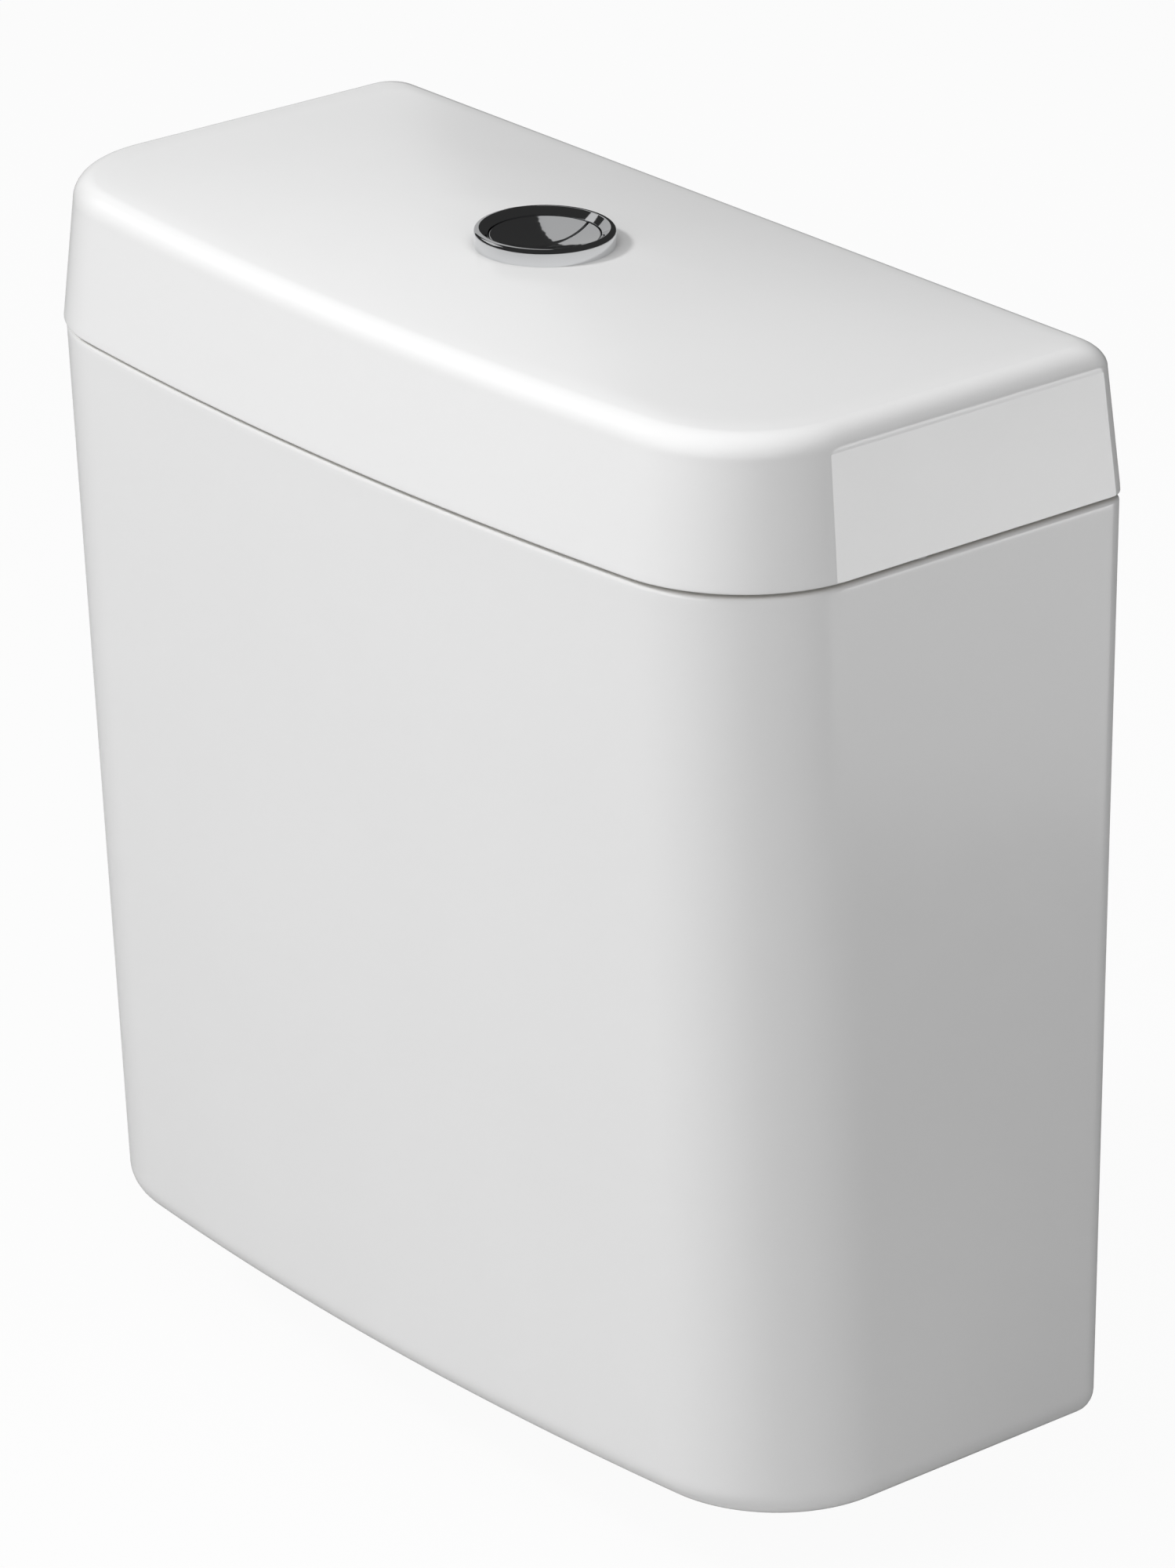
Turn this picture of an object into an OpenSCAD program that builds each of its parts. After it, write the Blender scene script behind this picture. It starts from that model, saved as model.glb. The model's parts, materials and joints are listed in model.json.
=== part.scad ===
// Close-coupled toilet cistern: ceramic tank and lid, dual flush button, flush valve,
// fill valve and the bolts that hold it on the pan. Sizes are in millimetres.
// The origin is on the axis of the flush outlet, in the plane of the tank's underside.
// The front faces -Y, the back faces +Y and +Z is up.

/* [Ceramic] */
// Width across the lower edge of the lid
body_width = 390; // [370:1:420]
// Depth from back to front at the lower edge of the lid
body_depth = 187; // [180:1:210]
// Height from the underside of the tank to the top of the lid
body_height = 402; // [395:0.5:445]
// Height of the lid from its lower edge to its top
lid_height = 56; // [52:0.5:64]
// Rise of the top of the lid from its round edge to its level middle
lid_dome = 4.4; // [3:0.1:6]
// Distance that the foot of the front stands behind its top
front_lean = 19.5; // [8:0.5:24]
// Bulge of the front over the width of the tank
front_bow = 13; // [6:0.5:20]
// Radius of the upright front corners
corner_radius = 53; // [40:1:60]
// Radius of the upright rear edges
rear_radius = 8; // [5:0.5:14]
// Rounding of the lower edge of the tank
foot_rounding = 10; // [6:0.5:14]
// Rounding of the upper edge of the lid
lid_rounding = 8; // [5:0.5:12]
// Distance that the lid draws in from its lower edge to its top
lid_draft = 5.5; // [2:0.5:8]
// Thickness of the ceramic walls
wall = 10; // [8:0.5:12]
// Thickness of the floor of the tank
floor_thickness = 12; // [10:0.5:15]
// Thickness of the top of the lid
lid_crown = 12; // [10:0.5:15]
// Distance that the lid stands out over the front and sides of the tank
lid_overhang = 1; // [0.5:0.25:3]
// Gap between the tank and the lid
seam_gap = 1.5; // [1:0.25:3]
// Depth of the rim under the lid that finds the tank
locating_rim = 9; // [5:0.5:14]
// Distance from the back of the tank to the axis of outlet and button
outlet_setback = 92; // [86:1:96]

/* [Flush button] */
// Diameter of the chromed bezel
bezel_diameter = 49; // [48:0.5:58]
// Height of the bezel over the lid
bezel_height = 6; // [4:0.5:8]
// Diameter of the two button caps together
button_diameter = 38.4; // [38:0.2:42]
// Radius of the arc that parts the caps
parting_radius = 45; // [30:1:60]
// Travel of a button
button_travel = 7; // [5:0.5:8]
// Distance of each push rod from the middle plane
rod_spread = 10; // [9:0.5:11]
// Diameter of the push rods
rod_diameter = 6; // [5:0.2:6.4]

/* [Flush valve] */
// Bore of the outlet tail
outlet_bore = 50; // [46:0.5:52]
// Outside diameter of the outlet thread
outlet_thread = 59.6; // [58:0.1:62]
// Length of the outlet tail below the tank
tail_drop = 30; // [26:1:38]
// Height of the deck of the valve tower
deck_height = 255; // [230:1:265]
// Outside diameter of the valve tower
tower_diameter = 72; // [70:0.5:76]
// Outside diameter of the overflow tube
overflow_diameter = 32; // [28:0.5:33]
// Height of the overflow edge above the deck
overflow_rise = 11; // [9:0.5:13]
// Height of the lever axis above the deck
lever_rise = 35; // [34:0.5:42]
// Length of a lever from its axis to its push rod
push_arm = 14; // [13:0.5:15]
// Length of a lever from its axis to its lifting nose
lift_arm = 21; // [19:0.5:23]

/* [Fill valve] */
// Distance of the fill valve from the left side of the tank
inlet_setback = 59; // [56:1:68]
// Outside diameter of the inlet thread
inlet_thread = 20.96; // [20:0.02:22]
// Length of the inlet thread below the tank
inlet_drop = 34; // [26:1:42]
// Height of the underside of the fill head
head_height = 262; // [250:1:275]
// Diameter of the float
float_diameter = 52; // [44:1:52]
// Rise of the float from empty to full
float_rise = 12; // [8:0.5:14]
// Length of the fill lever from its pin to its nose
fill_arm = 26; // [26:0.5:30]

/* [Pan bolts] */
// Distance between the two pan bolts
bolt_spacing = 150; // [130:1:180]
// Diameter of the pan bolts
bolt_diameter = 8; // [6:0.5:10]
// Length of the pan bolts below the tank
bolt_drop = 40; // [34:1:44]

/* [Hidden] */
$fn = 64;

// Clearances: of a pin in its hole, of a fixed piece in its seat, between faces that move
pin_gap = 0.05;
seat_gap = 0.1;
slide_gap = 0.3;
// Extra length of a cut past the face that it goes through
past = 1;

// Levels and half sizes of the ceramic
lid_base = body_height - lid_height;
tank_height = lid_base - seam_gap;
half_tank = body_width / 2 - lid_overhang;
tank_front = body_depth - outlet_setback - lid_overhang;
bow_radius = (half_tank * half_tank + front_bow * front_bow) / (2 * front_bow);
cavity_rear_radius = 14;
cavity_rounding = 12;
rim_thickness = 6;
rim_clearance = 3;
rim_root = 10;
lid_hole_clearance = 0.5;
buffer_radius = 4;
rear_steps = 4;
corner_steps = 14;
bow_steps = 18;
rounding_steps = 5;

// Share of the lid's top that is level, and share of the rise that its round edge takes
dome_middle = 0.4;
dome_edge = 0.15;
dome_steps = 5;

// Button set, measured from the top of the lid
bezel_edge = 1.5;
bezel_rim = 2.2;
dish_edge = 3.8;
sleeve_wall = 2;
sleeve_length = 26;
cap_edge = 3.6;
cap_depth = 5.6;
cap_dish_radius = 75;
cap_gap = 0.6;
parting_offset = 4.5;
spring_closed = 5;
guide_thickness = 3;
plunger_radius = 4;
plunger_length = 38;
rod_insert = 14;
rod_front = 9;
bezel_washer_thickness = 2;
bezel_nut_height = 8;
bezel_nut_radius = 28;
wing_length = 4;
wing_width = 6;
spring_wire = 0.45;
spring_radius = 5.2;
spring_turns = 5;
rings_per_turn = 8;
wire_sides = 6;

spring_length = button_travel + spring_closed;
button_radius = button_diameter / 2;
bezel_bore = button_radius + slide_gap;
sleeve_radius = bezel_bore + sleeve_wall;
cap_under = body_height + cap_edge - cap_depth;
guide_top = cap_under - spring_length;
plunger_end = body_height - plunger_length;
lid_ceiling = body_height - lid_crown;
nut_top = lid_ceiling - bezel_washer_thickness;

// Flush valve, from the floor of the tank upwards
outlet_washer_thickness = 3;
flange_thickness = 4;
flange_radius = 43;
tail_radius = outlet_thread / 2;
bore_radius = outlet_bore / 2;
throat_radius = bore_radius + 2;
throat_start = 6;
seat_rise = 13;
seat_wall = 4;
seat_lip = 2;
cage_height = 43;
cage_wall = 4;
cage_window = 42;
cage_band = 8;
outlet_hole_clearance = 2;
back_nut_height = 12;
back_nut_wall = 6;
back_nut_rib = 3.5;
gasket_height = 18;
gasket_wall = 8;
gasket_taper = 5;
gasket_shoulder = 9;

flange_base = floor_thickness + outlet_washer_thickness;
flange_top = flange_base + flange_thickness;
seat_top = flange_top + seat_rise;
cage_top = flange_top + cage_height;
tower_radius = tower_diameter / 2;
tower_wall = 3;
tower_foot = 4;
tower_foot_spread = 5;
cage_radius = tower_radius + tower_foot_spread;
deck_thickness = 4;
window_width = 24;
window_low = 9;
window_band = 16;
ear_level = 110;
ear_width = 12;
guide_rod_radius = 2.5;
guide_rod_setback = 52;
back_nut_outer = tail_radius + back_nut_wall;
gasket_bore = back_nut_outer + back_nut_rib + past;

tube_radius = overflow_diameter / 2;
tube_wall = 2.5;
tube_tail = 4;
seal_thickness = 3;
seal_overlap = 3;
seal_radius = throat_radius + seat_wall + seal_overlap;
clip_width = 6;
tube_flange = 14;
tube_flange_thickness = 3;
float_level = 125;
flush_float_height = 40;
flush_float_gap = 3;
float_skin = 2;
overflow_top = deck_height + overflow_rise;

// Levers over the deck
lever_axis = [0, push_arm - rod_front, deck_height + lever_rise];
lever_width = 7;
lever_height = 5;
nose_radius = 3;
hub_radius = 5;
hub_gap = 0.4;
pin_radius = 2.5;
pin_head = 1.5;
cheek_inner = 21;
cheek_thickness = 3;
cheek_width = 16;
cheek_top = 6;
bracket_foot = 3;
bracket_ring = 0.5;
hook_thickness = 4;
hook_reach = 6;
hook_clear = 5;
hook_collar = 3;
hook_level = deck_height + bracket_foot + past;
rod_end = lever_axis.z + nose_radius + slide_gap;
lift_y = lever_axis.y + lift_arm;
half_float_level = 150;
half_float_height = 40;
half_float_radius = 13;
guide_rod_tail = 10;

// Fill valve, about the axis of its shank
inlet_x = inlet_setback - half_tank;
inlet_radius = inlet_thread / 2;
inlet_hole_clearance = 1.5;
shank_step = 0.4;
thread_relief = 1.5;
shank_washer_thickness = 3;
shank_flange = 8.5;
shank_flange_thickness = 4;
shank_body_radius = 14;
shank_body_height = 15;
shank_bore = 6;
socket_depth = 10;
shank_nut_height = 9;
shank_nut_radius = 19.5;
filter_rim = 2;
filter_rim_radius = 8;
filter_length = 26;
filter_wall = 1.4;
riser_radius = 9.2;
riser_wall = 2.4;
float_stop = 4;
float_stop_height = 5;
float_length = 60;
float_headroom = 20;
float_bore_gap = 0.5;
head_radius = 21;
head_length = 26;
head_socket = 4;
cap_length = 10;
cap_spread = 1;
diaphragm_thickness = 2;
diaphragm_rim = 4;
valve_chamber = 5;
link_radius = 1.5;
link_collar = 3.5;
link_collar_height = 3;
link_ear = 5;
link_ear_height = 8;
fill_pin_offset = 4;
fill_pin_rise = 8;
fill_pin_radius = 1.8;
fill_pin_spare = 1;
fill_nose = 2.5;
fill_lever_width = 9;
fill_lever_height = 4;
fill_hub = 4;
fill_tail = 7;
fill_ear_gap = 0.5;
fill_ear = 3;
fill_ear_width = 9;
nozzle_radius = 2;
nozzle_height = 1.4;
discharge_radius = 6;
discharge_wall = 1.4;
discharge_setback = 34;
discharge_foot = 28;
discharge_insert = 10;
elbow_wall = 3;
cross_bore = 4;

shank_radius = inlet_radius + shank_step;
shank_seat = floor_thickness + shank_washer_thickness;
shank_flange_top = shank_seat + shank_flange_thickness;
shank_top = shank_flange_top + shank_body_height;
socket_floor = shank_top - socket_depth;
head_top = head_height + head_length;
cap_top = head_top + cap_length;
float_radius = float_diameter / 2;
float_top = head_height - float_headroom - float_rise;
float_height = float_top - float_length;
fill_pivot = [inlet_x + fill_pin_offset, 0, cap_top + fill_pin_rise];
link_x = fill_pivot.x + fill_arm;
link_end = fill_pivot.z - fill_nose - slide_gap;

// Pan bolts
bolt_radius = bolt_diameter / 2;
bolt_hole_clearance = 1.5;
bolt_thread_depth = 0.4;
bolt_seal_thickness = 5;
bolt_seal_spread = 8;
bolt_seal_taper = 2;
bolt_head_height = 5.5;
bolt_head_spread = 3.5;
bolt_washer_thickness = 1.5;
bolt_washer_spread = 6;
bolt_nut_height = 6.5;
bolt_head_base = floor_thickness + bolt_seal_thickness;
bolt_shank = bolt_radius - bolt_thread_depth;

// Points of an arc, ends included
function arc_points(centre, radius, from, to, steps) =
    [for (i = [0:steps])
        let (a = from + (to - from) * i / steps)
        centre + radius * [cos(a), sin(a)]];

// Front of the tank's outline at a level: it leans back towards the foot
function front_at(z) = tank_front - front_lean * (1 - z / tank_height);

// Level outline of the ceramic, clockwise from the right rear edge. It lies inside the outline
// of the tank by inset, with its straight back and sides, round corners and bowed front.
// An outline that stands out past the tank keeps to the plane of its back.
function outline(inset, front, rear) =
    let (
        half = half_tank - inset,
        back = outlet_setback - max(inset, 0),
        corner = corner_radius - inset,
        bow = bow_radius - inset,
        bow_y = bow - (front - inset),
        corner_x = half - corner,
        corner_y = bow_y - sqrt(pow(bow - corner, 2) - corner_x * corner_x),
        meet = atan2(corner_y - bow_y, corner_x),
        step = (-180 - 2 * meet) / bow_steps
    )
    concat(
        arc_points([half - rear, back - rear], rear, 90, 0, rear_steps),
        arc_points([corner_x, corner_y], corner, 0, meet, corner_steps),
        arc_points([0, bow_y], bow, meet + step, -180 - meet - step, bow_steps - 2),
        arc_points([-corner_x, corner_y], corner, -180 - meet, -180, corner_steps),
        arc_points([rear - half, back - rear], rear, 180, 90, rear_steps)
    );

// An outline lifted to a level
function ring(inset, z, front, rear) = [for (p = outline(inset, front, rear)) [p.x, p.y, z]];

// Rear edge radius of an outline that lies inside another
function rear_inside(inset) = max(rear_radius - inset, 2);

// Angles of a quarter round
function quarter() = [for (i = [0:rounding_steps]) 90 * i / rounding_steps];

// Solid through a stack of rings that have the same number of points
module loft(rings) {
    count = len(rings[0]);
    last = len(rings) - 1;
    points = [for (r = rings) each r];
    sides = [for (k = [0:last - 1], i = [0:count - 1])
        let (a = k * count + i, b = k * count + (i + 1) % count)
        each [[a, b, b + count], [a, b + count, a + count]]];
    foot = [for (i = [count - 1:-1:0]) i];
    top = [for (i = [0:count - 1]) last * count + i];
    polyhedron(points = points, faces = concat([foot, top], sides), convexity = 6);
}

// Tube between two radii
module tube(inner, outer, height) {
    difference() {
        cylinder(r = outer, h = height);
        translate([0, 0, -past]) cylinder(r = inner, h = height + 2 * past);
    }
}

// Places its children at both pan bolts
module at_bolts() {
    for (side = [-1, 1]) translate([side * bolt_spacing / 2, 0, 0]) children();
}

// Turns a flat shape so that it stands in the YZ plane, with its thickness along X
module stand_across() {
    rotate([90, 0, 90]) children();
}

module tank() {
    outer = concat(
        [for (a = quarter())
            let (z = foot_rounding * (1 - cos(a)), inset = foot_rounding * (1 - sin(a)))
            ring(inset, z, front_at(z), rear_inside(inset))],
        [ring(0, tank_height, tank_front, rear_radius)]
    );
    inner = concat(
        [for (a = quarter())
            let (
                z = floor_thickness + cavity_rounding * (1 - cos(a)),
                inset = wall + cavity_rounding * (1 - sin(a))
            )
            ring(inset, z, front_at(z), cavity_rear_radius)],
        [ring(wall, tank_height + past, front_at(tank_height + past), cavity_rear_radius)]
    );
    color("white")
    difference() {
        loft(outer);
        loft(inner);
        translate([0, 0, -past])
            cylinder(r = tail_radius + outlet_hole_clearance, h = floor_thickness + 2 * past);
        translate([inlet_x, 0, -past])
            cylinder(r = shank_radius + inlet_hole_clearance, h = floor_thickness + 2 * past);
        at_bolts() translate([0, 0, -past])
            cylinder(r = bolt_radius + bolt_hole_clearance, h = floor_thickness + 2 * past);
    }
}

module lid() {
    rim = wall + rim_clearance;
    shoulder = lid_height - lid_dome - lid_rounding;
    shoulder_inset = lid_draft * shoulder / lid_height - lid_overhang;
    edge_inset = shoulder_inset + lid_rounding;
    ceiling = lid_height - lid_crown;
    rear = rear_radius + lid_overhang;
    edge_rise = lid_dome * dome_edge;
    edge = outline(edge_inset, tank_front, rear);
    outer = concat(
        [ring(rim, lid_base - locating_rim, tank_front, cavity_rear_radius)],
        [ring(rim, lid_base, tank_front, cavity_rear_radius)],
        [ring(-lid_overhang, lid_base, tank_front, rear)],
        [for (a = quarter())
            let (
                inset = shoulder_inset + lid_rounding * (1 - cos(a)),
                z = shoulder + lid_rounding * sin(a) + edge_rise * (1 - cos(a))
            )
            ring(inset, lid_base + z, tank_front, rear)],
        [for (i = [1:dome_steps])
            let (
                share = 1 - (1 - dome_middle) * i / dome_steps,
                rise = (1 - share * share) / (1 - dome_middle * dome_middle),
                z = body_height - (lid_dome - edge_rise) * (1 - rise)
            )
            [for (p = edge) [p.x * share, p.y * share, z]]]
    );
    inner = concat(
        [for (z = [-locating_rim - past, rim_root])
            ring(rim + rim_thickness, lid_base + z, tank_front, cavity_rear_radius)],
        [ring(wall, lid_base + rim_root, tank_front, cavity_rear_radius)],
        [for (a = quarter())
            let (
                z = ceiling - cavity_rounding + cavity_rounding * sin(a),
                inset = wall + lid_draft * z / lid_height + cavity_rounding * (1 - cos(a))
            )
            ring(inset, lid_base + z, tank_front, cavity_rear_radius)]
    );
    color("white")
    difference() {
        loft(outer);
        loft(inner);
        translate([0, 0, lid_ceiling - past])
            cylinder(r = sleeve_radius + lid_hole_clearance, h = lid_crown + 2 * past);
    }
}

// Soft pads on the rim of the tank, two at the back and one on each side
module lid_buffers() {
    inset = wall / 2;
    spread = half_tank - corner_radius;
    color("gainsboro")
    for (side = [-1, 1]) {
        translate([side * spread, outlet_setback - inset, tank_height])
            cylinder(r = buffer_radius, h = seam_gap);
        translate([side * (half_tank - inset), 0, tank_height])
            cylinder(r = buffer_radius, h = seam_gap);
    }
}

// Chromed rim with a sloped dish, a threaded sleeve through the lid and a guide for the plungers
module button_bezel() {
    outer = bezel_diameter / 2;
    top = body_height + bezel_height;
    color("silver")
    difference() {
        rotate_extrude()
            polygon(concat(
                [[0, guide_top - guide_thickness], [bezel_bore, guide_top - guide_thickness]],
                [[bezel_bore, body_height - sleeve_length], [sleeve_radius, body_height - sleeve_length]],
                [[sleeve_radius, body_height], [outer, body_height]],
                arc_points([outer - bezel_edge, top - bezel_edge], bezel_edge, 0, 90, rounding_steps),
                [[outer - bezel_rim, top], [bezel_bore, body_height + dish_edge]],
                [[bezel_bore, guide_top], [0, guide_top]]
            ));
        for (side = [-1, 1])
            translate([side * rod_spread, -rod_front, guide_top - guide_thickness - past])
                cylinder(r = plunger_radius + pin_gap, h = guide_thickness + 2 * past);
    }
}

module bezel_washer() {
    color("dimgray")
    translate([0, 0, nut_top])
        tube(sleeve_radius + seat_gap, bezel_nut_radius, bezel_washer_thickness);
}

// Plastic nut with wings for the fingers
module bezel_nut() {
    color("whitesmoke")
    translate([0, 0, nut_top - bezel_nut_height])
    difference() {
        union() {
            cylinder(r = bezel_nut_radius, h = bezel_nut_height);
            for (turn = [0:60:300])
                rotate(turn)
                translate([bezel_nut_radius - past, -wing_width / 2, 0])
                cube([wing_length + past, wing_width, bezel_nut_height]);
        }
        translate([0, 0, -past])
            cylinder(r = sleeve_radius + seat_gap, h = bezel_nut_height + 2 * past);
    }
}

// Both caps before they are parted: a short cylinder with a shallow dish in its top
module dished_cap() {
    difference() {
        translate([0, 0, cap_under]) cylinder(r = button_radius, h = cap_depth);
        translate([0, 0, body_height + cap_edge + sqrt(pow(cap_dish_radius, 2) - pow(button_radius, 2))])
            sphere(r = cap_dish_radius);
    }
}

// Upright cylinder whose wall parts the two caps
module parting(radius) {
    translate([parting_offset - parting_radius, 0, cap_under - past])
        cylinder(r = radius, h = cap_depth + 2 * past, $fn = 128);
}

// Plunger under a cap, bored for its push rod
module plunger(side) {
    translate([side * rod_spread, -rod_front, plunger_end])
    difference() {
        cylinder(r = plunger_radius, h = cap_under - plunger_end);
        translate([0, 0, -past])
            cylinder(r = rod_diameter / 2 + pin_gap, h = rod_insert + 2 * past);
    }
}

module full_flush_button() {
    color("lightgray") {
        intersection() {
            dished_cap();
            parting(parting_radius - cap_gap / 2);
        }
        plunger(-1);
    }
}

module half_flush_button() {
    color("lightgray") {
        difference() {
            dished_cap();
            parting(parting_radius + cap_gap / 2);
        }
        plunger(1);
    }
}

// Rod with a round nose that stands over its lever
module push_rod(side) {
    radius = rod_diameter / 2;
    color("white")
    translate([side * rod_spread, -rod_front, rod_end])
    rotate_extrude()
        polygon(concat(
            [[0, plunger_end + rod_insert - rod_end], [0, 0]],
            [for (a = [-60:30:0]) radius * [cos(a), 1 + sin(a)]],
            [[radius, plunger_end + rod_insert - rod_end]]
        ));
}

module full_push_rod() {
    push_rod(-1);
}

module half_push_rod() {
    push_rod(1);
}

// Middle of the spring's wire after a share of its turns
function spring_point(share) =
    let (a = 360 * spring_turns * share)
    [
        spring_radius * cos(a),
        spring_radius * sin(a),
        spring_wire + (spring_length - 2 * spring_wire) * share
    ];

// Return spring about a plunger, between the guide and the cap
module button_spring(side) {
    last = spring_turns * rings_per_turn;
    points = [for (i = [0:last], k = [0:wire_sides - 1])
        let (a = 360 * i / rings_per_turn, b = 360 * k / wire_sides)
        spring_point(i / last)
            + spring_wire * [cos(b) * cos(a), cos(b) * sin(a), sin(b)]];
    sides = [for (i = [0:last - 1], k = [0:wire_sides - 1])
        let (p = i * wire_sides + k, q = i * wire_sides + (k + 1) % wire_sides)
        each [[p, q + wire_sides, q], [p, p + wire_sides, q + wire_sides]]];
    start = [for (k = [0:wire_sides - 1]) k];
    end = [for (k = [wire_sides - 1:-1:0]) last * wire_sides + k];
    color("lightgray")
    translate([side * rod_spread, -rod_front, guide_top])
        polyhedron(points = points, faces = concat([start, end], sides), convexity = 8);
}

module full_button_spring() {
    button_spring(-1);
}

module half_button_spring() {
    button_spring(1);
}

// Threaded tail, flange, valve seat and the cage that carries the tower
module outlet_body() {
    color("whitesmoke") {
        rotate_extrude()
            polygon([
                [bore_radius, -tail_drop], [tail_radius, -tail_drop],
                [tail_radius, flange_base], [flange_radius, flange_base],
                [flange_radius, flange_top], [throat_radius + seat_wall, flange_top],
                [throat_radius + seat_wall, seat_top - seat_lip], [throat_radius + seat_lip, seat_top - seat_lip],
                [throat_radius + seat_lip, seat_top], [throat_radius, seat_top],
                [throat_radius, throat_start], [bore_radius, throat_start]
            ]);
        difference() {
            translate([0, 0, flange_top - past])
                tube(cage_radius - cage_wall, cage_radius, cage_height + past);
            for (turn = [0, 90])
                rotate(turn)
                translate([-cage_radius - past, -cage_window / 2, flange_top + past])
                cube([2 * (cage_radius + past), cage_window, cage_height - cage_band]);
        }
    }
}

module outlet_washer() {
    color("dimgray")
    translate([0, 0, floor_thickness])
        tube(tail_radius + seat_gap, flange_radius - past, outlet_washer_thickness);
}

// Ribbed plastic nut under the tank
module outlet_back_nut() {
    color("whitesmoke")
    translate([0, 0, -back_nut_height])
    difference() {
        union() {
            cylinder(r = back_nut_outer, h = back_nut_height);
            for (turn = [0:45:315])
                rotate(turn)
                translate([back_nut_outer - past, -back_nut_rib, 0])
                cube([back_nut_rib + past, 2 * back_nut_rib, back_nut_height]);
        }
        translate([0, 0, -past])
            cylinder(r = tail_radius + seat_gap, h = back_nut_height + 2 * past);
    }
}

// Soft ring round the nut and tail, pressed between tank and pan
module coupling_gasket() {
    outer = gasket_bore + gasket_wall;
    floor_level = -back_nut_height - slide_gap;
    color("dimgray")
    rotate_extrude()
        polygon([
            [gasket_bore, 0], [outer, 0],
            [outer, -gasket_shoulder], [outer - gasket_taper, -gasket_height],
            [tail_radius + slide_gap, -gasket_height], [tail_radius + slide_gap, floor_level],
            [gasket_bore, floor_level]
        ]);
}

// Tower with windows, a deck that guides the overflow tube and two ears that guide the half float rod
module valve_tower() {
    inner = tower_radius - tower_wall;
    color("lightsteelblue")
    difference() {
        union() {
            translate([0, 0, cage_top]) cylinder(r = tower_radius, h = deck_height - cage_top);
            translate([0, 0, cage_top]) cylinder(r = cage_radius, h = tower_foot);
            for (level = [ear_level, deck_height - deck_thickness])
                translate([rod_spread - ear_width / 2, 0, level])
                cube([ear_width, guide_rod_setback + ear_width / 2, deck_thickness]);
        }
        translate([0, 0, cage_top - past])
            cylinder(r = inner, h = deck_height - deck_thickness - cage_top + past);
        translate([0, 0, deck_height - deck_thickness - past])
            cylinder(r = tube_radius + slide_gap, h = deck_thickness + 2 * past);
        for (turn = [0:60:120])
            rotate(turn) {
                translate([-cage_radius, -window_width / 2, cage_top + window_low])
                    cube([2 * cage_radius, window_width, ear_level - cage_top - window_low - window_band / 2]);
                translate([-tower_radius - past, -window_width / 2, ear_level + window_band / 2])
                    cube([
                        2 * (tower_radius + past), window_width,
                        deck_height - deck_thickness - window_band - ear_level
                    ]);
            }
        translate([rod_spread, guide_rod_setback, 0])
            cylinder(r = guide_rod_radius + slide_gap, h = deck_height + past);
    }
}

// Ring on the deck with two cheeks that hold the lever pin
module lever_bracket() {
    ring_inner = cheek_inner - bracket_ring;
    color("lightsteelblue")
    difference() {
        union() {
            translate([0, 0, deck_height]) tube(ring_inner, tower_radius - past, bracket_foot);
            for (side = [0, 1])
                mirror([side, 0, 0])
                translate([cheek_inner, lever_axis.y - cheek_width / 2, deck_height])
                cube([cheek_thickness, cheek_width, lever_rise + cheek_top]);
        }
        translate(lever_axis) rotate([0, 90, 0])
            cylinder(r = pin_radius + pin_gap, h = 4 * cheek_inner, center = true);
    }
}

module lever_pin() {
    reach = cheek_inner + cheek_thickness;
    color("silver")
    translate(lever_axis) rotate([0, 90, 0]) {
        translate([0, 0, -reach - past]) cylinder(r = pin_radius, h = 2 * reach + past);
        translate([0, 0, reach]) cylinder(r = pin_radius + pin_head, h = pin_head);
    }
}

// Rocking lever: the push rod bears on its front nose and the rear nose lifts
module flush_lever(side) {
    color(side < 0 ? "royalblue" : "gainsboro")
    translate(lever_axis)
    difference() {
        union() {
            translate([side * rod_spread, 0, 0])
                stand_across()
                linear_extrude(lever_width, center = true) {
                    translate([-push_arm, 0]) circle(r = nose_radius);
                    translate([lift_arm, 0]) circle(r = nose_radius);
                    translate([-push_arm, -lever_height / 2]) square([push_arm + lift_arm, lever_height]);
                }
            translate([side * cheek_inner / 2, 0, 0]) rotate([0, 90, 0])
                cylinder(r = hub_radius, h = cheek_inner - 2 * hub_gap, center = true);
        }
        rotate([0, 90, 0]) cylinder(r = pin_radius + pin_gap, h = 4 * cheek_inner, center = true);
    }
}

module full_flush_lever() {
    flush_lever(-1);
}

module half_flush_lever() {
    flush_lever(1);
}

// Overflow tube with the flange that backs the main seal
module overflow_tube() {
    seal_top = seat_top + seal_thickness;
    color("white")
    rotate_extrude()
        polygon([
            [tube_radius - tube_wall, seat_top - tube_tail], [tube_radius, seat_top - tube_tail],
            [tube_radius, seal_top], [tube_radius + tube_flange, seal_top],
            [tube_radius + tube_flange, seal_top + tube_flange_thickness],
            [tube_radius, seal_top + tube_flange_thickness],
            [tube_radius, overflow_top], [tube_radius - tube_wall, overflow_top]
        ]);
}

// Collar on the overflow tube with a hook over the nose of the full flush lever
module lift_hook() {
    post = lift_y + hook_clear;
    left = -rod_spread - lever_width / 2;
    color("royalblue")
    difference() {
        union() {
            translate([0, 0, hook_level]) cylinder(r = tube_radius + hook_collar, h = hook_thickness);
            translate([left, 0, hook_level])
                cube([lever_width, post + hook_thickness, hook_thickness]);
            translate([left, post, hook_level])
                cube([lever_width, hook_thickness, rod_end + hook_thickness - hook_level]);
            translate([left, lift_y - hook_reach, rod_end])
                cube([lever_width, hook_reach + hook_clear + hook_thickness, hook_thickness]);
        }
        translate([0, 0, hook_level - past])
            cylinder(r = tube_radius + pin_gap, h = hook_thickness + 2 * past);
    }
}

module main_seal() {
    color("firebrick")
    translate([0, 0, seat_top]) tube(tube_radius + seat_gap, seal_radius, seal_thickness);
}

module seal_clip() {
    color("whitesmoke")
    translate([0, 0, seat_top - seal_thickness])
        tube(tube_radius + seat_gap, tube_radius + clip_width, seal_thickness);
}

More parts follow.
